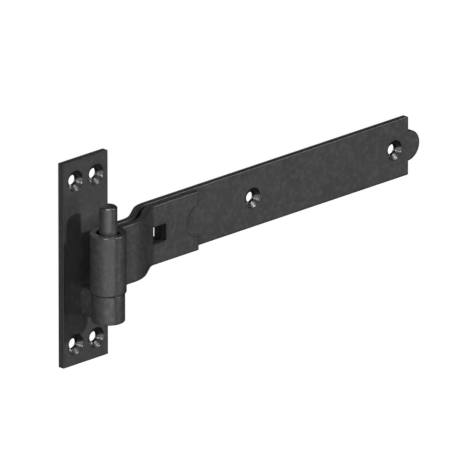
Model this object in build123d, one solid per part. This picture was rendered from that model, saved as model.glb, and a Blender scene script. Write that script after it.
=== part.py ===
from build123d import *
from math import asin, cos, degrees, radians, sin, sqrt
import os

# Cranked band and hook hinge, in millimetres.
# The origin is the centre of the back plate's rear face. +X runs along the strap, +Y goes into the post,
# and +Z is up. The plate's rear face and the strap's rear face both lie in the plane Y = 0.

# Flat bar of the band
bar_width = 40.8
bar_thickness = 4.5
bar_edge_radius = 0.9

# Gap between the band's two layers: a little wider beside the eye than along the strap
strap_gap = 1.9
eye_gap = 2.6

# Eye of the band, turned round the pin
eye_bore_radius = 7.4
eye_return_radius = 2.0

# Crank of the band
crank_start = 24.0
crank_angle = 35.0
crank_radius = 19.25

# Strap, measured along X from the pin
strap_shoulder = 295.9
nib_radius = 10.4
shoulder_corner_radius = 1.0
front_layer_end = 96.5
strap_hole_first = 152.2
strap_hole_spacing = 130.7
strap_hole_radius = 3.55
strap_sink_radius = 6.85
square_hole_x = 61.0
square_hole_side = 11.5

# Straight land that every screw hole keeps behind its sink
screw_hole_land = 2.2

# Pin
pin_radius = 6.0
pin_chamfer = 1.0
pin_stand_out = 18.0
pin_foot_chamfer = 0.8

# Back plate
plate_width = 40.5
plate_height = 140.0
plate_thickness = 4.75
plate_edge_radius = 0.4
plate_hole_spacing_x = 18.6
plate_hole_spacing_z = 112.0
plate_hole_radius = 3.55
plate_sink_radius = 6.9

# Hook bracket, folded from its own flat bar
strip_thickness = 4.85
strip_width = 19.4
strip_edge_chamfer = 0.5
neck_return_radius = 2.0
neck_seam = 0.2
tail_height = 13.0
rivet_flare = 1.0

# Places and running clearances
pin_stand_off = 25.5
band_top = 24.0
seat_clearance = 0.2
grip_clearance = 0.02
slot_clearance = 0.1

# Worked out from the sizes above
band_bottom = band_top - bar_width
band_middle = band_top - bar_width / 2
knuckle_top = band_bottom - seat_clearance
knuckle_bottom = knuckle_top - strip_width
knuckle_middle = knuckle_top - strip_width / 2
plate_front = -plate_thickness
strap_pitch = bar_thickness + strap_gap
eye_pitch = bar_thickness + eye_gap
cut_reach = 2 * (bar_width + plate_height)


def run(start, heading, length):
    """A straight stretch of a bar's middle line: its edge and its end point."""
    end = start + Vector(cos(radians(heading)), sin(radians(heading))) * length
    return Line(start, end), end


def bend(start, heading, radius, turn):
    """A bend that goes on from a heading in degrees: its edge, its end point and the new heading."""
    tangent = (cos(radians(heading)), sin(radians(heading)))
    arc = JernArc(start=start, tangent=tangent, radius=radius, arc_size=turn)
    return arc, arc @ 1, heading + turn


def flat_bar(line, section, middle_height):
    """Flat bar laid on edge along a flat middle line."""
    across = Plane(origin=line @ 0, x_dir=(0, 0, 1), z_dir=line % 0)
    return Pos(0, 0, middle_height) * sweep(across * section, path=line)


def countersunk_hole(radius, sink_radius, thickness):
    """Cutter for a screw hole along Y with its sink in the front face, which lies at Y = 0."""
    shank = Rot(X=-90) * Cylinder(radius, 4 * thickness)
    depth = thickness - screw_hole_land
    slope = (sink_radius - radius) / depth
    outline = Polyline((0, -1), (sink_radius + slope, -1), (radius, depth), (0, depth), close=True)
    return shank + revolve(make_face(outline), Axis.Y)


def turned_eye(start):
    """The eye and its return bend, from the top of the eye to the start of the front layer."""
    ring_radius = eye_bore_radius + bar_thickness / 2
    return_radius = eye_return_radius + bar_thickness / 2
    drop = return_radius + eye_pitch - ring_radius
    lean = degrees(asin(drop / (ring_radius + return_radius)))
    ring, point, heading = bend(start, 180, ring_radius, 270 - lean)
    back_turn, point, heading = bend(point, heading, return_radius, lean - 90)
    return [ring, back_turn], point


def crank_slope(offset, first_radius, second_radius):
    """Length of the straight slope between a crank's two bends, for the offset between its two ends."""
    rise_of_bends = (first_radius + second_radius) * (1 - cos(radians(crank_angle)))
    return (offset - rise_of_bends) / sin(radians(crank_angle))


def crank_length(slope, first_radius, second_radius):
    """How far a crank reaches along the strap."""
    return (first_radius + second_radius) * sin(radians(crank_angle)) + slope * cos(radians(crank_angle))


def band_line():
    """Middle line of the band's one flat bar, from the nib round the eye and back to the notched end."""
    back_offset = pin_stand_off - eye_bore_radius - bar_thickness
    slope = crank_slope(back_offset, crank_radius, crank_radius)
    crank_end = crank_start + crank_length(slope, crank_radius, crank_radius)
    tip = Vector(strap_shoulder + nib_radius, -bar_thickness / 2)

    strap, point = run(tip, 180, tip.X - crank_end)
    outer_bend, point, heading = bend(point, 180, crank_radius, crank_angle)
    incline, point = run(point, heading, slope)
    inner_bend, point, heading = bend(point, heading, crank_radius, -crank_angle)
    to_eye, point = run(point, heading, crank_start)
    pieces = [strap, outer_bend, incline, inner_bend, to_eye]

    eye, point = turned_eye(point)
    pieces += eye

    first_radius = crank_radius + eye_pitch
    second_radius = crank_radius - strap_pitch
    slope = crank_slope(back_offset + eye_gap - strap_gap, first_radius, second_radius)
    from_eye, point = run(point, 0, crank_start - point.X)
    inner_bend, point, heading = bend(point, 0, first_radius, crank_angle)
    incline, point = run(point, heading, slope)
    outer_bend, point, heading = bend(point, heading, second_radius, -crank_angle)
    front_layer, point = run(point, heading, front_layer_end - point.X)
    pieces += [from_eye, inner_bend, incline, outer_bend, front_layer]
    return Wire([piece.edge() for piece in pieces])


def seen_from_front(outline, x, y, depth):
    """Cutter that drives an outline drawn in the front view into the band, from y towards the viewer."""
    view = Plane(origin=(x, y, band_middle), x_dir=(1, 0, 0), z_dir=(0, -1, 0))
    return extrude(view * outline, depth)


def sheared_end():
    """What the shear takes off the strap's end: it leaves a half-round nib between two rounded shoulders."""
    blank = Pos(-shoulder_corner_radius, 0) * Rectangle(cut_reach, cut_reach, align=(Align.MIN, Align.CENTER))
    kept = RectangleRounded(bar_width, bar_width, shoulder_corner_radius, align=(Align.MAX, Align.CENTER))
    return blank - kept - Circle(nib_radius)


def build_band():
    section = RectangleRounded(bar_width, bar_thickness, bar_edge_radius)
    bar = flat_bar(band_line(), section, band_middle)
    split = -bar_thickness - strap_gap / 2
    square = Rectangle(square_hole_side, square_hole_side)
    bar -= seen_from_front(sheared_end(), strap_shoulder, bar_thickness, cut_reach)
    bar -= seen_from_front(Circle(nib_radius), front_layer_end, split, cut_reach)
    bar -= seen_from_front(square, square_hole_x, bar_thickness, cut_reach)
    hole = countersunk_hole(strap_hole_radius, strap_sink_radius, bar_thickness)
    for x in (strap_hole_first, strap_hole_first + strap_hole_spacing):
        bar -= Pos(x, -bar_thickness, band_middle) * hole
    return bar


def build_pin():
    top = band_top + pin_stand_out
    length = top - knuckle_bottom
    foot = Pos(0, -pin_stand_off, knuckle_bottom)
    rod = foot * Cylinder(pin_radius, length, align=(Align.CENTER, Align.CENTER, Align.MIN))
    rims = rod.edges().filter_by(GeomType.CIRCLE).sort_by(Axis.Z)
    rod = chamfer(rims[-1], pin_chamfer)
    return chamfer(rod.edges().filter_by(GeomType.CIRCLE).sort_by(Axis.Z)[0], pin_foot_chamfer)


def bracket_line():
    """Middle line of the folded strip: one leg from the plate, round the pin and back along the other leg."""
    ring_radius = pin_radius + grip_clearance + strip_thickness / 2
    return_radius = neck_return_radius + strip_thickness / 2
    leg_x = (neck_seam + strip_thickness) / 2
    side = leg_x + return_radius
    reach = sqrt((ring_radius + return_radius) ** 2 - side ** 2)
    lean = degrees(asin(side / (ring_radius + return_radius)))
    start = Vector(-leg_x, 0)

    leg_in, point = run(start, -90, pin_stand_off - reach)
    turn_in, point, heading = bend(point, -90, return_radius, lean - 90)
    knuckle, point, heading = bend(point, heading, ring_radius, 360 - 2 * lean)
    turn_out, point, heading = bend(point, heading, return_radius, lean - 90)
    leg_out, point = run(point, heading, pin_stand_off - reach)
    return Wire([piece.edge() for piece in (leg_in, turn_in, knuckle, turn_out, leg_out)])


def riveted_tail(margin):
    """The block that the tail fills in the plate: straight through, then flared into the rear chamfer."""
    width = 2 * strip_thickness + neck_seam + 2 * margin
    height = tail_height + 2 * margin
    shank = Box(width, plate_thickness, height, align=(Align.CENTER, Align.MAX, Align.CENTER))
    rear = Plane(origin=(0, 0, 0), x_dir=(1, 0, 0), z_dir=(0, 1, 0))
    inner = Plane(origin=(0, -rivet_flare, 0), x_dir=(1, 0, 0), z_dir=(0, 1, 0))
    wide = rear * Rectangle(width + 2 * rivet_flare, height + 2 * rivet_flare)
    narrow = inner * Rectangle(width, height)
    return Pos(0, 0, knuckle_middle) * (shank + loft([narrow, wide]))


def build_bracket():
    section = chamfer(Rectangle(strip_width, strip_thickness).vertices(), strip_edge_chamfer)
    strip = flat_bar(bracket_line(), section, knuckle_middle)
    whole = Box(cut_reach, cut_reach, cut_reach, align=(Align.CENTER, Align.MIN, Align.CENTER))
    in_plate = Pos(0, plate_front, 0) * whole
    seam = Box(neck_seam, cut_reach, cut_reach)
    tail = riveted_tail(0) - seam
    return strip - in_plate + tail


def build_plate():
    plate = Box(plate_width, plate_thickness, plate_height, align=(Align.CENTER, Align.MAX, Align.CENTER))
    plate = fillet(plate.edges(), plate_edge_radius)
    hole = countersunk_hole(plate_hole_radius, plate_sink_radius, plate_thickness)
    for x in (-plate_hole_spacing_x / 2, plate_hole_spacing_x / 2):
        for z in (-plate_hole_spacing_z / 2, plate_hole_spacing_z / 2):
            plate -= Pos(x, plate_front, z) * hole
    return plate - riveted_tail(slot_clearance)


os.makedirs("parts", exist_ok=True)
nodes = {
    "back_plate": build_plate(),
    "hook_bracket": build_bracket(),
    "hinge_pin": build_pin(),
    "band": build_band(),
}
for name, shape in nodes.items():
    export_step(shape, f"parts/{name}.step")
    print(name, "solids", len(shape.solids()), "volume", round(shape.volume, 1), "valid", shape.is_valid)
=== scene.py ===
import bmesh
import bpy
from collections import namedtuple
from math import asin, cos, pi, radians, sin, sqrt
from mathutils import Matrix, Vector


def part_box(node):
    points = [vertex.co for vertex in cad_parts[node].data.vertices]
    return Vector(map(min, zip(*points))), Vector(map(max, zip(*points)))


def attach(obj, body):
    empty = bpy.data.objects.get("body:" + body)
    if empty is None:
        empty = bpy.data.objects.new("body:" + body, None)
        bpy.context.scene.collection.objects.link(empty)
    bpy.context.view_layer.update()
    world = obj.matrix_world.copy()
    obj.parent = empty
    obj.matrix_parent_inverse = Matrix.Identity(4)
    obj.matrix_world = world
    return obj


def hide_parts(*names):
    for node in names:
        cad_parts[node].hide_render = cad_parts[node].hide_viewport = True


# Dresses the packed band and hook hinge: each bar, plate and pin is drawn again with fine edges and a
# black coat. Lengths are metres in the CAD's frame: the origin is the centre of the back plate's rear
# face, +X runs along the strap, +Y goes into the post and +Z is up.

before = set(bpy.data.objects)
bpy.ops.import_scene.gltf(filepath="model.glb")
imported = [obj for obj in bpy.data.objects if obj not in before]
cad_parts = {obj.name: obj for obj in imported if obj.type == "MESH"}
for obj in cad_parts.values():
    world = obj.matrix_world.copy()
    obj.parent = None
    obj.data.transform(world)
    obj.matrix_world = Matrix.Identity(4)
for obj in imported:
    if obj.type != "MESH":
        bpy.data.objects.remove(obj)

bl_info = {
    "name": "Band and Hook Hinge",
    "version": (1, 0, 0),
    "blender": (4, 5, 0),
    "location": "View3D > Sidebar > Hinge",
    "description": "Cranked band hinge on a hook plate, with its black coat and a white studio",
    "category": "Add Mesh",
}

MM = 0.001
PLATE_LOW, PLATE_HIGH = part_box("back_plate")
BAND_LOW, BAND_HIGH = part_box("band")
PIN_LOW, PIN_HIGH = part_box("hinge_pin")

# Fineness of the rounded parts: a rolled edge, a full turn, the nib, a sheared corner, the notch's
# circle, and a plate edge or a broken edge.
ROLLED_EDGE_POINTS = 5
TURNED_SIDES = 96
NIB_STEPS = 64
CORNER_STEPS = 6
NOTCH_SIDES = 60
EDGE_SEGMENTS = 3

# Points closer than this are one point, faces that turn less than this are one face, and a point of a
# turned profile closer to the axis than this lies on it.
SAME_POINT = 0.5e-6
SAME_FACE = radians(0.05)
ON_AXIS = 1e-9

# Edges that turn more than this are broken. The rims of the strap's sinks turn by 34.9 degrees.
SHARP = radians(30)

# How much the large faces rule the smooth shading: the most that there is
LARGE_FACES_WEIGHT = 100

# The pin's edges are broken wider than the others, by this factor
PIN_RIM = 1.5

# Where the band's cutters start in free air in front of it, and where they end behind it, and how far
# a screw hole's cutter goes on behind. All are in thicknesses of the bar or plate.
END_FRONT, NOTCH_FRONT, SQUARE_FRONT, BEHIND = -2, -5, -6, 1
SHANK_REACH = 3

# The camera's sensor in millimetres, and the nearest and farthest that it sees in metres
SENSOR_WIDTH = 36.0
NEAREST, FARTHEST = 1.0, 100.0


def size(label, note, default):
    """A length property in metres."""
    return bpy.props.FloatProperty(name=label, description=note, default=default, unit="LENGTH",
                                   precision=5, min=0.0)


def ratio(label, note, default):
    """A plain number property from 0 to 1."""
    return bpy.props.FloatProperty(name=label, description=note, default=default, min=0.0, max=1.0)


def bearing(label, note, default):
    """An angle property: its default is given in degrees."""
    return bpy.props.FloatProperty(name=label, description=note, default=radians(default),
                                   subtype="ANGLE", unit="ROTATION")


def tone(label, note, default):
    """A colour property."""
    return bpy.props.FloatVectorProperty(name=label, description=note, default=default,
                                         subtype="COLOR", size=3, min=0.0, max=1.0)


class HingeBandSizes(bpy.types.PropertyGroup):
    """Sizes of the folded band."""

    width: size("Bar width", "Height of the flat bar as it lies on edge", BAND_HIGH.z - BAND_LOW.z)
    thickness: size("Bar thickness", "Thickness of the flat bar", 4.5 * MM)
    edge: size("Rolled edge", "Radius of the bar's rolled edges", 0.9 * MM)
    strap_gap: size("Gap along the strap", "Space between the two layers of the strap", 1.9 * MM)
    eye_gap: size("Gap at the eye", "Space between the two layers beside the eye", 2.6 * MM)
    bore: size("Eye bore", "Inner radius of the turned eye", 7.4 * MM)
    mouth: size("Return bend", "Inner radius of the bend that closes the eye", 2.0 * MM)
    crank_start: size("Crank start", "Where the crank begins, measured from the pin", 24.0 * MM)
    crank_angle: bearing("Crank angle", "Slope of the crank", 35.0)
    crank_radius: size("Crank radius", "Radius of the rear layer's middle line in the crank", 19.25 * MM)
    shoulder: size("Shoulder", "Where the full width ends at the strap's far end", 295.9 * MM)
    nib: size("Nib radius", "Radius of the half-round nib and of its notch", 10.4 * MM)
    corner: size("Shoulder corner", "Radius of the sheared corners beside the nib", 1.0 * MM)
    front_end: size("Front layer end", "Where the front layer stops on the strap", 96.5 * MM)
    first_hole: size("First screw hole", "Place of the strap's first screw hole", 152.2 * MM)
    hole_spacing: size("Screw hole spacing", "Distance between the strap's screw holes", 130.7 * MM)
    hole: size("Screw hole radius", "Radius of the strap's screw holes", 3.55 * MM)
    sink: size("Sink radius", "Outer radius of the strap's countersinks", 6.85 * MM)
    square_place: size("Bolt hole place", "Place of the square hole", 61.0 * MM)
    square: size("Bolt hole side", "Side of the square hole", 11.5 * MM)


class HingeHookSizes(bpy.types.PropertyGroup):
    """Sizes of the hook: its plate, folded bracket and pin."""

    stand_off: size("Pin stand-off", "Distance of the pin's axis from the plate's rear face", 25.5 * MM)
    pin_radius: size("Pin radius", "Radius of the pin", (PIN_HIGH.x - PIN_LOW.x) / 2)
    pin_top: size("Pin top edge", "Chamfer at the pin's upper end", 1.0 * MM)
    pin_foot: size("Pin foot edge", "Chamfer at the pin's lower end", 0.8 * MM)
    plate_thickness: size("Plate thickness", "Thickness of the back plate", PLATE_HIGH.y - PLATE_LOW.y)
    plate_edge: size("Plate edge", "Radius of the plate's edges", 0.4 * MM)
    spacing_x: size("Hole spacing across", "Sideways distance between the plate's holes", 18.6 * MM)
    spacing_z: size("Hole spacing up", "Upright distance between the plate's holes", 112.0 * MM)
    hole: size("Screw hole radius", "Radius of the plate's screw holes", 3.55 * MM)
    sink: size("Sink radius", "Outer radius of the plate's countersinks", 6.9 * MM)
    land: size("Land", "Straight land that every screw hole keeps behind its sink", 2.2 * MM)
    strip: size("Strip thickness", "Thickness of the folded bracket", 4.85 * MM)
    strip_width: size("Strip width", "Height of the folded bracket", 19.4 * MM)
    strip_edge: size("Strip edge", "Radius of the bracket's edges", 0.6 * MM)
    grip: size("Grip", "Gap between the bracket and the pin", 0.02 * MM)
    neck: size("Neck bend", "Inner radius of the bends beside the knuckle", 2.0 * MM)
    seam: size("Seam", "Gap between the bracket's two legs", 0.2 * MM)
    seat: size("Seat", "Gap between the eye and the knuckle under it", 0.2 * MM)
    tail: size("Tail height", "Height of the tail that goes through the plate", 13.0 * MM)
    flare: size("Rivet flare", "How far the tail spreads into the plate's rear chamfer", 1.0 * MM)
    slot_gap: size("Slot gap", "Gap round the tail in the plate's slot", 0.1 * MM)


class HingeCoat(bpy.types.PropertyGroup):
    """Look of the black coat."""

    colour: tone("Coat", "Colour of the black coat", (0.034, 0.034, 0.0345))
    # Edge colour is a painted shade: near-black along sharp edges, standing in for the shadow beside the
    # front layer's notched end and for dark outlines.
    edge: tone("Edge colour", "Colour where the coat gathers along edges", (0.005, 0.005, 0.005))
    edge_shade_and_polish_reach: size("Edge reach", "How far from an edge its colour can reach", 2.0 * MM)
    roughness: ratio("Roughness", "Roughness of the coat", 0.5)
    waviness: size("Waviness", "Height of the waves in the coat, about 5 mm apart", 0.15 * MM)
    grain: size("Grain", "Height of the coat's fine grain", 0.02 * MM)
    rim: size("Broken edge", "Width of the broken edges of holes and sheared ends", 0.12 * MM)


class HingeStudio(bpy.types.PropertyGroup):
    """Camera and floor of the studio."""

    drop: size("Floor drop", "How far the floor lies under the hinge", 1.6)
    reach: size("Floor reach", "How far the floor goes out from the hinge", 60.0)
    lens: bpy.props.FloatProperty(name="Lens", description="Focal length of the long lens",
                                  default=1600.0, unit="CAMERA")
    azimuth: bearing("Azimuth", "How far the camera stands round to the left of the front", 44.874)
    elevation: bearing("Elevation", "How high the camera looks down from", 19.836)
    aside: size("Aim aside", "How far right of the origin the camera aims", 100.914 * MM)
    aloft: size("Aim aloft", "How far above the origin the camera aims", 13.373 * MM)
    distance: size("Distance", "How far away the camera stands", 13.588)


def band_sizes():
    """The band's sizes in this scene."""
    return bpy.context.scene.hinge_band


def hook_sizes():
    """The hook's sizes in this scene."""
    return bpy.context.scene.hinge_hook


def coat_look():
    """The coat's settings in this scene."""
    return bpy.context.scene.hinge_coat


def band_middle():
    """Height of the band's middle line."""
    return BAND_HIGH.z - band_sizes().width / 2


def knuckle_middle():
    """Height of the bracket's middle line: it lies just under the band."""
    return BAND_LOW.z - hook_sizes().seat - hook_sizes().strip_width / 2


class Walk:
    """Walks a bar's middle line as seen from above, and keeps the points that it passes."""

    # Bends are drawn in steps of a fifteenth of the crank's angle, which keeps the lines across the bar
    # clear of the square hole's sides.
    step = radians(35.0) / 15

    def __init__(self, x, y, heading):
        """Starts at a point. The heading is in degrees, to the left of +X."""
        self.here = Vector((x, y))
        self.heading = radians(heading)
        self.points = [self.here.copy()]

    def ahead(self, length):
        """Goes straight on."""
        self.here = self.here + Vector((cos(self.heading), sin(self.heading))) * length
        self.points.append(self.here.copy())

    def turn(self, radius, angle):
        """Follows an arc: the angle is in radians, positive to the left."""
        side = 1 if angle > 0 else -1
        centre = self.here + Vector((-sin(self.heading), cos(self.heading))) * radius * side
        count = max(2, round(abs(angle) / self.step))
        for i in range(1, count + 1):
            way = self.heading + angle * i / count
            self.points.append(centre + Vector((sin(way), -cos(way))) * radius * side)
        self.here = self.points[-1].copy()
        self.heading += angle


def band_walk(sizes):
    """Middle line of the band: from the nib along the rear layer, round the eye and back in front."""
    half = sizes.thickness / 2
    offset = hook_sizes().stand_off - sizes.bore - sizes.thickness
    pitch, eye_pitch = sizes.thickness + sizes.strap_gap, sizes.thickness + sizes.eye_gap
    angle, radius = sizes.crank_angle, sizes.crank_radius

    def slope(drop, first, second):
        """Length of the straight slope between a crank's two bends."""
        return (drop - (first + second) * (1 - cos(angle))) / sin(angle)

    incline = slope(offset, radius, radius)
    crank_end = sizes.crank_start + 2 * radius * sin(angle) + incline * cos(angle)
    tip = sizes.shoulder + sizes.nib
    walk = Walk(tip, -half, 180)
    walk.ahead(tip - crank_end)
    walk.turn(radius, angle)
    walk.ahead(incline)
    walk.turn(radius, -angle)
    walk.ahead(sizes.crank_start)

    ring, back = sizes.bore + half, sizes.mouth + half
    lean = asin((back + eye_pitch - ring) / (ring + back))
    walk.turn(ring, radians(270) - lean)
    walk.turn(back, lean - radians(90))
    walk.ahead(sizes.crank_start - walk.here.x)

    first, second = radius + eye_pitch, radius - pitch
    walk.turn(first, angle)
    walk.ahead(slope(offset + sizes.eye_gap - sizes.strap_gap, first, second))
    walk.turn(second, -angle)
    walk.ahead(sizes.front_end - walk.here.x)
    return walk.points


def bracket_walk(sizes):
    """Middle line of the folded strip: out along one leg, round the pin and back along the other."""
    ring = sizes.pin_radius + sizes.grip + sizes.strip / 2
    neck = sizes.neck + sizes.strip / 2
    leg = (sizes.seam + sizes.strip) / 2
    reach = sqrt((ring + neck) ** 2 - (leg + neck) ** 2)
    lean = asin((leg + neck) / (ring + neck))
    walk = Walk(-leg, 0, -90)
    walk.ahead(sizes.stand_off - reach)
    walk.turn(neck, lean - radians(90))
    walk.turn(ring, radians(360) - 2 * lean)
    walk.turn(neck, lean - radians(90))
    walk.ahead(sizes.stand_off - reach)
    return walk.points


def node(tree, kind, **values):
    """Adds a node and sets the properties that the keywords name."""
    made = tree.nodes.new(kind)
    for name, value in values.items():
        setattr(made, name, value)
    return made


def wire(tree, source, target):
    """Links an output to an input."""
    tree.links.new(source, target)


def fresh_tree(name, inputs):
    """A Geometry Nodes tree that takes and gives a geometry, with further named inputs."""
    tree = bpy.data.node_groups.new(name, "GeometryNodeTree")
    face = tree.interface
    face.new_socket("Geometry", in_out="INPUT", socket_type="NodeSocketGeometry")
    for label, kind in inputs:
        face.new_socket(label, in_out="INPUT", socket_type=kind)
    face.new_socket("Geometry", in_out="OUTPUT", socket_type="NodeSocketGeometry")
    return tree, node(tree, "NodeGroupInput"), node(tree, "NodeGroupOutput")


def finish_tree(tree, shape, group_in, group_out):
    """Ends a tree in Realize Instances and Set Material."""
    real = node(tree, "GeometryNodeRealizeInstances")
    painted = node(tree, "GeometryNodeSetMaterial")
    wire(tree, shape, real.inputs["Geometry"])
    wire(tree, real.outputs["Geometry"], painted.inputs["Geometry"])
    wire(tree, group_in.outputs["Material"], painted.inputs["Material"])
    wire(tree, painted.outputs["Geometry"], group_out.inputs["Geometry"])


def bar_tree():
    """Tree that sweeps a flat bar with rolled edges along a line of points, on edge."""
    inputs = [(label, "NodeSocketFloat") for label in ("Width", "Thickness", "Edge", "Middle")]
    tree, given, out = fresh_tree("Folded bar", inputs + [("Material", "NodeSocketMaterial")])
    line = node(tree, "GeometryNodeMeshToCurve")
    upright = node(tree, "GeometryNodeSetCurveNormal", mode="Z_UP")
    section = node(tree, "GeometryNodeCurvePrimitiveQuadrilateral", mode="RECTANGLE")
    rolled = node(tree, "GeometryNodeFilletCurve", mode="POLY")
    rolled.inputs["Count"].default_value = ROLLED_EDGE_POINTS
    swept = node(tree, "GeometryNodeCurveToMesh")
    swept.inputs["Fill Caps"].default_value = True
    lift = node(tree, "ShaderNodeCombineXYZ")
    placed = node(tree, "GeometryNodeTransform")
    wire(tree, given.outputs["Geometry"], line.inputs["Mesh"])
    wire(tree, line.outputs["Curve"], upright.inputs["Curve"])
    wire(tree, given.outputs["Thickness"], section.inputs["Width"])
    wire(tree, given.outputs["Width"], section.inputs["Height"])
    wire(tree, section.outputs["Curve"], rolled.inputs["Curve"])
    wire(tree, given.outputs["Edge"], rolled.inputs["Radius"])
    wire(tree, upright.outputs["Curve"], swept.inputs["Curve"])
    wire(tree, rolled.outputs["Curve"], swept.inputs["Profile Curve"])
    wire(tree, given.outputs["Middle"], lift.inputs["Z"])
    wire(tree, swept.outputs["Mesh"], placed.inputs["Geometry"])
    wire(tree, lift.outputs["Vector"], placed.inputs["Translation"])
    finish_tree(tree, placed.outputs["Geometry"], given, out)
    return tree


def mesh_object(name, points, edges=(), faces=()):
    """A mesh object in the scene, at the origin."""
    mesh = bpy.data.meshes.new(name)
    mesh.from_pydata([tuple(p) for p in points], list(edges), list(faces))
    mesh.update()
    made = bpy.data.objects.new(name, mesh)
    bpy.context.scene.collection.objects.link(made)
    return made


def make_plain(piece):
    """Turns a piece with modifiers into a plain mesh and takes its modifiers off."""
    bpy.context.view_layer.update()
    graph = bpy.context.evaluated_depsgraph_get()
    done = bpy.data.meshes.new_from_object(piece.evaluated_get(graph), depsgraph=graph)
    done.name = piece.name
    piece.modifiers.clear()
    piece.data = done
    return piece


def run_tree(piece, tree, **values):
    """Puts a tree on a piece as a modifier, sets its named inputs and makes the result a plain mesh."""
    modifier = piece.modifiers.new(tree.name, "NODES")
    modifier.node_group = tree
    for item in tree.interface.items_tree:
        if item.item_type == "SOCKET" and item.in_out == "INPUT" and item.name in values:
            modifier[item.identifier] = values[item.name]
    return make_plain(piece)


def swept_bar(name, plan, finish, width, thickness, edge, middle):
    """A flat bar on edge along a plan line."""
    points = [(p.x, p.y, 0) for p in plan]
    piece = mesh_object(name, points, [(i, i + 1) for i in range(len(points) - 1)])
    return run_tree(piece, bar_tree(), Width=width, Thickness=thickness, Edge=edge, Middle=middle,
                    Material=finish)


def face_outwards(piece):
    """Makes a closed piece's faces point outwards."""
    work = bmesh.new()
    work.from_mesh(piece.data)
    bmesh.ops.recalc_face_normals(work, faces=work.faces)
    work.to_mesh(piece.data)
    work.free()
    return piece


def prism(name, outline, low, high):
    """A block with an outline drawn in the front view as (x, z), along Y from low to high."""
    count = len(outline)
    points = [(x, y, z) for y in (low, high) for x, z in outline]
    sides = [(i, (i + 1) % count, count + (i + 1) % count, count + i) for i in range(count)]
    caps = [tuple(reversed(range(count))), tuple(range(count, 2 * count))]
    return face_outwards(mesh_object(name, points, faces=sides + caps))


def lathe(name, profile):
    """A closed turned solid: the profile is (radius, height) from axis to axis, along Z."""
    points, faces, rings = [], [], []
    turns = [2 * pi * i / TURNED_SIDES for i in range(TURNED_SIDES)]
    for radius, height in profile:
        start = len(points)
        if radius < ON_AXIS:
            points.append((0, 0, height))
        else:
            points += [(radius * cos(turn), radius * sin(turn), height) for turn in turns]
        rings.append(list(range(start, len(points))))
    for lower, upper in zip(rings, rings[1:]):
        for i in range(TURNED_SIDES):
            j = (i + 1) % TURNED_SIDES
            if len(lower) == 1:
                faces.append((lower[0], upper[j], upper[i]))
            elif len(upper) == 1:
                faces.append((lower[i], lower[j], upper[0]))
            else:
                faces.append((lower[i], lower[j], upper[j], upper[i]))
    return face_outwards(mesh_object(name, points, faces=faces))


def shift(piece, x=0.0, y=0.0, z=0.0):
    """Moves a piece's mesh. Its object stays at the origin."""
    for vertex in piece.data.vertices:
        vertex.co += Vector((x, y, z))
    return piece


def lay_along_y(piece):
    """Turns a piece's mesh so that what pointed up points to the front."""
    for vertex in piece.data.vertices:
        vertex.co = Vector((vertex.co.x, -vertex.co.z, vertex.co.y))
    return face_outwards(piece)


def combine(piece, other, operation):
    """Cuts another solid out of a piece, or joins it on, and removes the other."""
    modifier = piece.modifiers.new("combine", "BOOLEAN")
    modifier.operation = operation
    modifier.solver = "EXACT"
    modifier.material_mode = "TRANSFER"
    modifier.object = other
    make_plain(piece)
    bpy.data.objects.remove(other)
    return piece


def cut(piece, *cutters):
    """Cuts solids out of a piece: a cutter with a finish leaves it on the faces that it cuts."""
    for cutter in cutters:
        if not cutter.data.materials:
            cutter.data.materials.append(piece.data.materials[0])
        combine(piece, cutter, "DIFFERENCE")
    return piece


def soften_rims(piece, width):
    """Breaks a piece's sharp edges and shades it smoothly, with its flat faces kept flat."""
    work = bmesh.new()
    work.from_mesh(piece.data)
    bmesh.ops.remove_doubles(work, verts=work.verts, dist=SAME_POINT)
    bmesh.ops.dissolve_limit(work, angle_limit=SAME_FACE, verts=work.verts, edges=work.edges)
    bmesh.ops.recalc_face_normals(work, faces=work.faces)
    for face in work.faces:
        face.smooth = True
    work.to_mesh(piece.data)
    work.free()
    broken = piece.modifiers.new("broken edges", "BEVEL")
    broken.width = width
    broken.segments = EDGE_SEGMENTS
    broken.limit_method = "ANGLE"
    broken.angle_limit = SHARP
    broken.miter_outer = "MITER_ARC"
    even = piece.modifiers.new("flat faces", "WEIGHTED_NORMAL")
    even.keep_sharp = False
    even.weight = LARGE_FACES_WEIGHT
    return make_plain(piece)


def countersunk_cutters(name, places, hole, sink, front, depth):
    """Geometry Nodes put one countersunk cutter at each screw hole's place, along Y."""
    fall = depth - hook_sizes().land
    proud = sink + MM * (sink - hole) / fall
    end = -SHANK_REACH * depth
    profile = [(0, end), (hole, end), (hole, -fall), (proud, MM), (0, MM)]
    cutter = lay_along_y(lathe(name + "_cutter", profile))
    piece = mesh_object(name, [(x, front, z) for x, z in places])
    inputs = [("Cutter", "NodeSocketObject"), ("Material", "NodeSocketMaterial")]
    tree, given, out = fresh_tree("Screw holes", inputs)
    info = node(tree, "GeometryNodeObjectInfo")
    copies = node(tree, "GeometryNodeInstanceOnPoints")
    wire(tree, given.outputs["Cutter"], info.inputs["Object"])
    wire(tree, given.outputs["Geometry"], copies.inputs["Points"])
    wire(tree, info.outputs["Geometry"], copies.inputs["Instance"])
    finish_tree(tree, copies.outputs["Instances"], given, out)
    # The sinks' finish is smoother and, at half the colour, painted shade.
    run_tree(piece, tree, Cutter=cutter, Material=coat_finish("coat_in_sinks"))
    bpy.data.objects.remove(cutter)
    return piece


def arc(x, z, radius, start, end, count):
    """Points of an arc in the front view, in degrees."""
    way = [radians(start + (end - start) * i / count) for i in range(count + 1)]
    return [(x + radius * cos(a), z + radius * sin(a)) for a in way]


def hand_over(piece, body, *nodes):
    """Lets a finished piece stand for its CAD nodes and ride on their body."""
    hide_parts(*nodes)
    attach(piece, body)


# How a pattern is stretched along X, Y and Z: not at all, or into marks that run round the pin.
EVENLY = (1.0, 1.0, 1.0)
TURNING_MARKS = (0.2, 0.2, 1.0)
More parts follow.
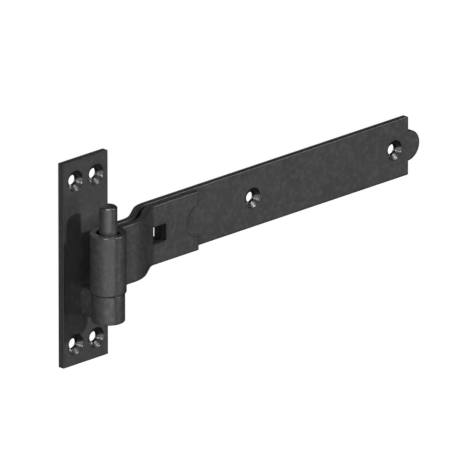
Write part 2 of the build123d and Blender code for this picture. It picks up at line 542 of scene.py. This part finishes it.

# A finish of the coat: shade of its colour, which below 1 is painted shade in the sinks and the square
# hole, what is added to its roughness, weight and roughness of the clear top layer, shares of mottling
# and of specks, and how the pattern is stretched.
Finish = namedtuple("Finish", "shade duller clear clear_roughness mottling specks stretch",
                    defaults=(1.0, 0.0, 0.6, 0.25, 1.0, 1.0, EVENLY))

FINISHES = {
    "coat_on_rolled_bar": Finish(),
    "coat_on_folded_strip": Finish(mottling=1.2),
    "coat_on_turned_pin": Finish(duller=-0.05, clear=1.0, clear_roughness=0.2, specks=0.3,
                                 stretch=TURNING_MARKS),
    "coat_on_plate": Finish(clear=0.35, clear_roughness=0.2, mottling=0.5, specks=0.4),
    # The sinks keep a smoother clear coat, but their colour at half the coat's is painted shade in the
    # recess.
    "coat_in_sinks": Finish(shade=0.5, duller=-0.15, clear=1.0, clear_roughness=0.22, mottling=0.5,
                            specks=0.0),
    # The square hole's walls take a third of the coat's colour: painted shade in the recess.
    "coat_in_square_hole": Finish(shade=0.35, duller=0.15, clear=0.0, clear_roughness=0.5,
                                  mottling=0.5, specks=0.0),
}

# Noise of each part of the coat's pattern: its features to the metre, and how many finer layers it has
CLOUDS, PATCHES, WAVES = (45.0, 3.0), (330.0, 2.0), (200.0, 1.0)
GRAIN, SPECK_GROUPS = (700.0, 3.0), (90.0, 1.0)

# Specks to the metre
SPECKS = 250.0

# Spans of the noise over which clouds, light patches, roughness and groups of specks change
CLOUD_SPAN, PATCH_SPAN, ROUGH_SPAN, GROUP_SPAN = (0.35, 0.65), (0.46, 0.66), (0.3, 0.7), (0.44, 0.52)

# Span from the core of a speck to its rim, as shares of the distance between specks
SPECK_SPAN = (0.06, 0.14)

# The painted edge shade begins and is full where the rounded normal has this cosine with the plain one
EDGE_SPAN = (0.996, 0.96)
EDGE_SAMPLES = 6

# Tones of the pattern, as shares of the coat's colour
CLOUD_LIGHT, CLOUD_DARK, PATCH_LIGHT, SPECK_DARK = 1.12, 0.88, 2.6, 0.1

# How much of the patches' light shows, how much they change the roughness, how far the painted edge
# shade covers the coat, and how much smoother the edge is.
PATCH_SHARE, PATCH_ROUGHNESS, EDGE_SHADE_AND_POLISH_COVER, EDGE_POLISH = 0.5, 0.07, 0.9, 0.2

# Relief of patches and specks, as shares of the waves' height
PATCH_RELIEF, SPECK_DENT = 0.3, 0.5

# The black's own reflection where it has a clear top layer, and where it has none
GLOSSY_BLACK, DULL_BLACK = 1.0, 0.3


class Pattern:
    """A material's pattern: each method adds a shader node and gives its output."""

    def __init__(self, tree, stretch):
        """Starts from Object coordinates, stretched."""
        self.tree = tree
        coordinates = node(tree, "ShaderNodeTexCoord")
        mapping = node(tree, "ShaderNodeMapping")
        mapping.inputs["Scale"].default_value = stretch
        wire(tree, coordinates.outputs["Object"], mapping.inputs["Vector"])
        self.place = mapping.outputs["Vector"]

    def fill(self, sockets, values):
        """Links a socket to a value that is an output, and sets it to any other value."""
        for socket, value in zip(sockets, values):
            if isinstance(value, bpy.types.NodeSocket):
                wire(self.tree, value, socket)
            else:
                socket.default_value = value

    def noise(self, fineness, detail):
        """Soft noise from 0 to 1."""
        made = node(self.tree, "ShaderNodeTexNoise")
        inputs = [made.inputs[label] for label in ("Vector", "Scale", "Detail")]
        self.fill(inputs, (self.place, fineness, detail))
        return made.outputs["Fac"]

    def cells(self, fineness):
        """Distance from the nearest of many scattered points."""
        made = node(self.tree, "ShaderNodeTexVoronoi")
        self.fill((made.inputs["Vector"], made.inputs["Scale"]), (self.place, fineness))
        return made.outputs["Distance"]

    def remap(self, value, span, start, end):
        """Takes a value from a span to the span from start to end, and holds it there."""
        mapped = node(self.tree, "ShaderNodeMapRange")
        self.fill(mapped.inputs, (value, *span, start, end))
        return mapped.outputs["Result"]

    def figure(self, operation, *values):
        """Arithmetic on values."""
        sum_node = node(self.tree, "ShaderNodeMath", operation=operation)
        self.fill(sum_node.inputs, values)
        return sum_node.outputs["Value"]

    def blend(self, factor, first, second):
        """Mixes two colours."""
        mixed = node(self.tree, "ShaderNodeMix", data_type="RGBA")
        self.fill((mixed.inputs[0], mixed.inputs[6], mixed.inputs[7]), (factor, first, second))
        return mixed.outputs[2]

    def edges(self, reach):
        """Marks what lies near a sharp edge: there the rounded normal turns away from the plain one."""
        rounded = node(self.tree, "ShaderNodeBevel", samples=EDGE_SAMPLES)
        rounded.inputs["Radius"].default_value = reach
        plain = node(self.tree, "ShaderNodeNewGeometry")
        compared = node(self.tree, "ShaderNodeVectorMath", operation="DOT_PRODUCT")
        wire(self.tree, rounded.outputs["Normal"], compared.inputs[0])
        wire(self.tree, plain.outputs["Normal"], compared.inputs[1])
        return self.remap(compared.outputs["Value"], EDGE_SPAN, 0.0, EDGE_SHADE_AND_POLISH_COVER)


def coat_finish(name):
    """Satin black coat: mottling, waves, grain, specks, a glossier black along edges, and a painted
    shade there: a near-black that stands in for shadow and dark outlines.
    """
    made = bpy.data.materials.get(name)
    if made:
        return made
    coat, finish = coat_look(), FINISHES[name]
    made = bpy.data.materials.new(name)
    made.use_nodes = True
    tree = made.node_tree
    tree.nodes.clear()
    out = node(tree, "ShaderNodeOutputMaterial")
    shader = node(tree, "ShaderNodeBsdfPrincipled")
    wire(tree, shader.outputs["BSDF"], out.inputs["Surface"])

    def tint(colour, level):
        """The finish's shade of a colour, at a level."""
        return tuple(level * finish.shade * channel for channel in colour) + (1,)

    pattern = Pattern(tree, finish.stretch)
    clouds, patches = pattern.noise(*CLOUDS), pattern.noise(*PATCHES)
    waves, grain = pattern.noise(*WAVES), pattern.noise(*GRAIN)
    dots = pattern.remap(pattern.cells(SPECKS), SPECK_SPAN, finish.specks, 0.0)
    groups = pattern.remap(pattern.noise(*SPECK_GROUPS), GROUP_SPAN, 0.0, 1.0)
    speck = pattern.figure("MULTIPLY", dots, groups)
    edge = pattern.edges(coat.edge_shade_and_polish_reach)

    cloudy = pattern.remap(clouds, CLOUD_SPAN, 0.0, 1.0)
    colour = pattern.blend(cloudy, tint(coat.colour, CLOUD_LIGHT), tint(coat.colour, CLOUD_DARK))
    patchy = pattern.remap(patches, PATCH_SPAN, 0.0, PATCH_SHARE * finish.mottling)
    colour = pattern.blend(patchy, colour, tint(coat.colour, PATCH_LIGHT))
    # Painted shade: near-black along sharp edges, for the shadow at the notch and for dark outlines.
    colour = pattern.blend(edge, colour, tint(coat.edge, 1.0))
    colour = pattern.blend(speck, colour, tint(coat.colour, SPECK_DARK))
    wire(tree, colour, shader.inputs["Base Color"])

    level, change = coat.roughness + finish.duller, PATCH_ROUGHNESS * finish.mottling
    roughness = pattern.remap(patches, ROUGH_SPAN, level + change, level - change)
    roughness = pattern.figure("MULTIPLY_ADD", edge, -EDGE_POLISH, roughness)
    wire(tree, roughness, shader.inputs["Roughness"])
    reflection = GLOSSY_BLACK if finish.clear else DULL_BLACK
    shader.inputs["Specular IOR Level"].default_value = reflection
    shader.inputs["Coat Weight"].default_value = finish.clear
    shader.inputs["Coat Roughness"].default_value = finish.clear_roughness

    relief = coat.waviness * finish.mottling
    height = pattern.figure("MULTIPLY", grain, coat.grain)
    height = pattern.figure("MULTIPLY_ADD", waves, relief, height)
    height = pattern.figure("MULTIPLY_ADD", patches, PATCH_RELIEF * relief, height)
    height = pattern.figure("MULTIPLY_ADD", speck, -SPECK_DENT * coat.waviness, height)
    bump = node(tree, "ShaderNodeBump")
    bump.inputs["Distance"].default_value = 1.0
    wire(tree, height, bump.inputs["Height"])
    wire(tree, bump.outputs["Normal"], shader.inputs["Normal"])
    return made


def sheared_outline(sizes):
    """What the shear takes off the strap's end: it leaves a half-round nib between two shoulders."""
    far, half, corner = sizes.width, sizes.width / 2, sizes.corner
    inset, level = sizes.shoulder - corner, half - corner
    outline = [(inset, far)]
    outline += arc(inset, level, corner, 90, 0, CORNER_STEPS)
    outline += arc(sizes.shoulder, 0, sizes.nib, 90, -90, NIB_STEPS)
    outline += arc(inset, -level, corner, 0, -90, CORNER_STEPS)
    return outline + [(inset, -far), (sizes.shoulder + far, -far), (sizes.shoulder + far, far)]


def notch_circle(sizes):
    """Circle of the front layer's notch: its last side closes it."""
    return arc(sizes.front_end, 0, sizes.nib, 0, 360 - 360 / NOTCH_SIDES, NOTCH_SIDES - 1)


def square_outline(sizes):
    """Outline of the square hole."""
    place, side = sizes.square_place, sizes.square / 2
    near, far = place - side, place + side
    return [(near, -side), (far, -side), (far, side), (near, side)]


class HINGE_OT_band(bpy.types.Operator):
    """Fold the band from one flat bar, shear its ends and cut its holes."""

    bl_idname = "hinge.band"
    bl_label = "Band"

    def execute(self, context):
        sizes, middle = band_sizes(), band_middle()
        thick, width, finish = sizes.thickness, sizes.width, coat_finish("coat_on_rolled_bar")
        band = swept_bar("band_bar", band_walk(sizes), finish, width, thick, sizes.edge, middle)
        behind = BEHIND * thick
        end = prism("sheared_end", sheared_outline(sizes), END_FRONT * thick, behind)
        split = -thick - sizes.strap_gap / 2
        notch = prism("notch", notch_circle(sizes), NOTCH_FRONT * thick, split)
        square = prism("square_hole", square_outline(sizes), SQUARE_FRONT * thick, behind)
        # The square hole's darker coat is painted shade in the recess.
        square.data.materials.append(coat_finish("coat_in_square_hole"))
        holes = [(sizes.first_hole, 0), (sizes.first_hole + sizes.hole_spacing, 0)]
        screws = countersunk_cutters("strap_screws", holes, sizes.hole, sizes.sink, -thick, thick)
        cut(band, *[shift(cutter, z=middle) for cutter in (end, notch, square, screws)])
        hand_over(soften_rims(band, coat_look().rim), "band", "band")
        return {"FINISHED"}


def tail_half(name, side, sizes):
    """One half of the riveted tail, left (-1) or right (1): it spreads at the rear."""
    front, flare, high = -sizes.plate_thickness - sizes.seam, sizes.flare, sizes.tail / 2
    inside, outside = side * sizes.seam / 2, side * (sizes.seam / 2 + sizes.strip)
    outline = [(inside, front), (outside, front), (outside, -flare), (outside + side * flare, 0),
               (inside, 0), (inside, -flare)]
    count = len(outline)
    points = [(x, y, way * (high + (flare if y == 0 else 0))) for way in (-1, 1) for x, y in outline]
    sides = [(i, (i + 1) % count, count + (i + 1) % count, count + i) for i in range(count)]
    caps = [(0, 1, 2, 5), (2, 3, 4, 5)]
    caps += [tuple(count + i for i in reversed(cap)) for cap in caps]
    return face_outwards(mesh_object(name, points, faces=sides + caps))


class HINGE_OT_bracket(bpy.types.Operator):
    """Fold the bracket round the pin and rivet its tail through the plate."""

    bl_idname = "hinge.bracket"
    bl_label = "Bracket"

    def execute(self, context):
        sizes, middle, finish = hook_sizes(), knuckle_middle(), coat_finish("coat_on_folded_strip")
        strip = swept_bar("hook_strip", bracket_walk(sizes), finish, sizes.strip_width, sizes.strip,
                          sizes.strip_edge, middle)
        far = PLATE_HIGH.z - PLATE_LOW.z
        around = [(-far, -far), (far, -far), (far, far), (-far, far)]
        cut(strip, prism("behind_plate_front", around, -sizes.plate_thickness, far))
        for side in (-1, 1):
            tail = tail_half("tail", side, sizes)
            tail.data.materials.append(finish)
            combine(strip, shift(tail, z=middle), "UNION")
        hand_over(soften_rims(strip, coat_look().rim), "hook", "hook_bracket")
        return {"FINISHED"}


class HINGE_OT_pin(bpy.types.Operator):
    """Turn the pin."""

    bl_idname = "hinge.pin"
    bl_label = "Pin"

    def execute(self, context):
        sizes, low, high = hook_sizes(), PIN_LOW.z, PIN_HIGH.z
        radius = sizes.pin_radius
        profile = [(0, low), (radius - sizes.pin_foot, low), (radius, low + sizes.pin_foot),
                   (radius, high - sizes.pin_top), (radius - sizes.pin_top, high), (0, high)]
        pin = shift(lathe("pin_rod", profile), y=-sizes.stand_off)
        pin.data.materials.append(coat_finish("coat_on_turned_pin"))
        hand_over(soften_rims(pin, PIN_RIM * coat_look().rim), "hook", "hinge_pin")
        return {"FINISHED"}


def slot_cutter(name, front, half_width, half_height, flare):
    """The plate's slot with its rear chamfer: the cutter stands proud of both faces."""
    rings = [(front - MM, 0.0), (-flare, 0.0), (flare, 2 * flare)]
    corners = ((-1, -1), (1, -1), (1, 1), (-1, 1))
    points = [(x * (half_width + grown), y, z * (half_height + grown)) for y, grown in rings
              for x, z in corners]
    faces = [(0, 1, 2, 3), (8, 11, 10, 9)]
    for base in (0, 4):
        faces += [(base + i, base + (i + 1) % 4, base + 4 + (i + 1) % 4, base + 4 + i)
                  for i in range(4)]
    return face_outwards(mesh_object(name, points, faces=faces))


class HINGE_OT_plate(bpy.types.Operator):
    """Cut the back plate with its four countersunk holes and the slot for the bracket's tail."""

    bl_idname = "hinge.plate"
    bl_label = "Back plate"

    def execute(self, context):
        sizes, low, high = hook_sizes(), PLATE_LOW, PLATE_HIGH
        corners = [(low.x, low.z), (high.x, low.z), (high.x, high.z), (low.x, high.z)]
        plate = prism("back_plate_bar", corners, low.y, high.y)
        rounded = plate.modifiers.new("rolled edges", "BEVEL")
        rounded.width, rounded.segments = sizes.plate_edge, EDGE_SEGMENTS
        make_plain(plate)
        plate.data.materials.append(coat_finish("coat_on_plate"))
        half_width = sizes.seam / 2 + sizes.strip + sizes.slot_gap
        half_height = sizes.tail / 2 + sizes.slot_gap
        slot = slot_cutter("slot", low.y, half_width, half_height, sizes.flare)
        across, up = sizes.spacing_x / 2, sizes.spacing_z / 2
        holes = [(x, z) for x in (-across, across) for z in (-up, up)]
        screws = countersunk_cutters("plate_screws", holes, sizes.hole, sizes.sink, low.y,
                                     sizes.plate_thickness)
        cut(plate, shift(slot, z=knuckle_middle()), screws)
        hand_over(soften_rims(plate, coat_look().rim), "hook", "back_plate")
        return {"FINISHED"}


# A lamp of the studio: where it stands and how soft it is, in degrees, and how strong. Azimuth 0 is in
# front of the hinge, and it grows to the right.
Lamp = namedtuple("Lamp", "name azimuth elevation softness strength")

LAMPS = [
    Lamp("key_right", 27.5, 25.0, 3.0, 1.64),
    Lamp("sink_light", 30.0, 36.0, 12.0, 0.14),
    Lamp("graze_left", -56.0, 10.0, 3.0, 0.90),
    Lamp("key_left", -24.0, 7.0, 7.0, 0.24),
    Lamp("low_right", 30.0, -8.0, 20.0, 0.17),
    Lamp("side_left", -112.0, 0.0, 30.0, 0.24),
    Lamp("below_left", -90.0, -60.0, 30.0, 0.28),
    Lamp("above_left", -80.0, 62.0, 6.0, 0.26),
    Lamp("above", -42.0, 68.0, 5.0, 0.32),
    Lamp("above_right", -8.0, 63.0, 6.0, 0.26),
    Lamp("back", 180.0, 10.0, 20.0, 1.50),
    Lamp("back_left", -150.0, 10.0, 30.0, 0.35),
]


def low_strip(count, left, step, elevation, softness, weakest, rise):
    """A low strip of lamps from left to front, each a little stronger than the last."""
    return [Lamp(f"low_strip_{i}", left + step * i, elevation, softness, weakest + rise * i)
            for i in range(count)]


# The rounded eye, knuckle and pin mirror the low strip as one broad highlight.
LAMPS += low_strip(count=8, left=-94.0, step=12.0, elevation=-16.0, softness=14.0, weakest=0.028,
                   rise=0.009)


def towards(azimuth, elevation):
    """Direction in which a lamp or the camera stands: both angles are in radians."""
    return Vector((sin(azimuth) * cos(elevation), -cos(azimuth) * cos(elevation), sin(elevation)))


def lay_floor(studio):
    """A floor far below that shines plain white and gives the hinge no light."""
    white = bpy.data.materials.new("pale_floor")
    white.use_nodes = True
    shader = white.node_tree.nodes["Principled BSDF"]
    shader.inputs["Base Color"].default_value = (0, 0, 0, 1)
    shader.inputs["Specular IOR Level"].default_value = 0.0
    shader.inputs["Emission Color"].default_value = (1, 1, 1, 1)
    shader.inputs["Emission Strength"].default_value = 1.0
    reach, low = studio.reach, -studio.drop
    corners = [(-reach, -reach, low), (reach, -reach, low), (reach, reach, low), (-reach, reach, low)]
    floor = mesh_object("floor", corners, faces=[(0, 1, 2, 3)])
    floor.data.materials.append(white)
    floor.visible_diffuse = floor.visible_glossy = False


def surround(scene):
    """White surroundings that only the camera sees."""
    world = bpy.data.worlds.new("white_surroundings")
    scene.world = world
    world.use_nodes = True
    world.node_tree.nodes["Background"].inputs["Color"].default_value = (1, 1, 1, 1)
    world.cycles_visibility.diffuse = world.cycles_visibility.glossy = False


def hang_lamps(scene):
    """Hangs each lamp as a sun that shines from its direction."""
    for row in LAMPS:
        lamp = bpy.data.lights.new(row.name, "SUN")
        lamp.energy = row.strength
        lamp.angle = radians(row.softness)
        holder = bpy.data.objects.new(row.name, lamp)
        scene.collection.objects.link(holder)
        holder.rotation_mode = "QUATERNION"
        way = towards(radians(row.azimuth), radians(row.elevation))
        holder.rotation_quaternion = way.to_track_quat("Z", "Y")


def set_camera(scene, studio):
    """Stands the camera at the photo's angle, far away with a long lens."""
    lens = bpy.data.cameras.new("photo_camera")
    lens.lens = studio.lens
    lens.sensor_width = SENSOR_WIDTH
    lens.clip_start, lens.clip_end = NEAREST, FARTHEST
    camera = bpy.data.objects.new("photo_camera", lens)
    scene.collection.objects.link(camera)
    back = towards(-studio.azimuth, studio.elevation)
    right = Vector((cos(studio.azimuth), -sin(studio.azimuth), 0))
    aim = right * studio.aside + back.cross(right) * studio.aloft
    camera.location = aim + back * studio.distance
    camera.rotation_mode = "QUATERNION"
    camera.rotation_quaternion = (-back).to_track_quat("-Z", "Y")
    scene.camera = camera


class HINGE_OT_stage(bpy.types.Operator):
    """Set up the floor, the surroundings, the lamps and the camera."""

    bl_idname = "hinge.stage"
    bl_label = "Stage"

    def execute(self, context):
        scene = context.scene
        lay_floor(scene.hinge_studio)
        surround(scene)
        hang_lamps(scene)
        set_camera(scene, scene.hinge_studio)
        scene.view_settings.view_transform = "Standard"
        return {"FINISHED"}


class HINGE_PT_panel(bpy.types.Panel):
    """Lists the hinge's operators and settings."""

    bl_idname = "HINGE_PT_panel"
    bl_label = "Band and Hook Hinge"
    bl_space_type = "VIEW_3D"
    bl_region_type = "UI"
    bl_category = "Hinge"

    def draw(self, context):
        for step in STEPS:
            self.layout.operator(step.bl_idname)
        for group, name in GROUPS.items():
            box = self.layout.box()
            box.label(text=group.__doc__)
            for setting in group.__annotations__:
                box.prop(getattr(context.scene, name), setting)


GROUPS = {
    HingeBandSizes: "hinge_band",
    HingeHookSizes: "hinge_hook",
    HingeCoat: "hinge_coat",
    HingeStudio: "hinge_studio",
}
STEPS = (HINGE_OT_plate, HINGE_OT_bracket, HINGE_OT_pin, HINGE_OT_band, HINGE_OT_stage)


def register():
    """Registers the classes and gives the scene its settings."""
    for made in (*GROUPS, *STEPS, HINGE_PT_panel):
        bpy.utils.register_class(made)
    for group, name in GROUPS.items():
        setattr(bpy.types.Scene, name, bpy.props.PointerProperty(type=group))


def unregister():
    """Takes the settings and the classes away again."""
    for name in GROUPS.values():
        delattr(bpy.types.Scene, name)
    for made in reversed((*GROUPS, *STEPS, HINGE_PT_panel)):
        bpy.utils.unregister_class(made)


def main():
    """Builds each piece and the stage in order."""
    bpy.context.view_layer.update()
    register()
    for step in STEPS:
        group, name = step.bl_idname.split(".")
        getattr(getattr(bpy.ops, group), name)()


if __name__ == "__main__":
    main()
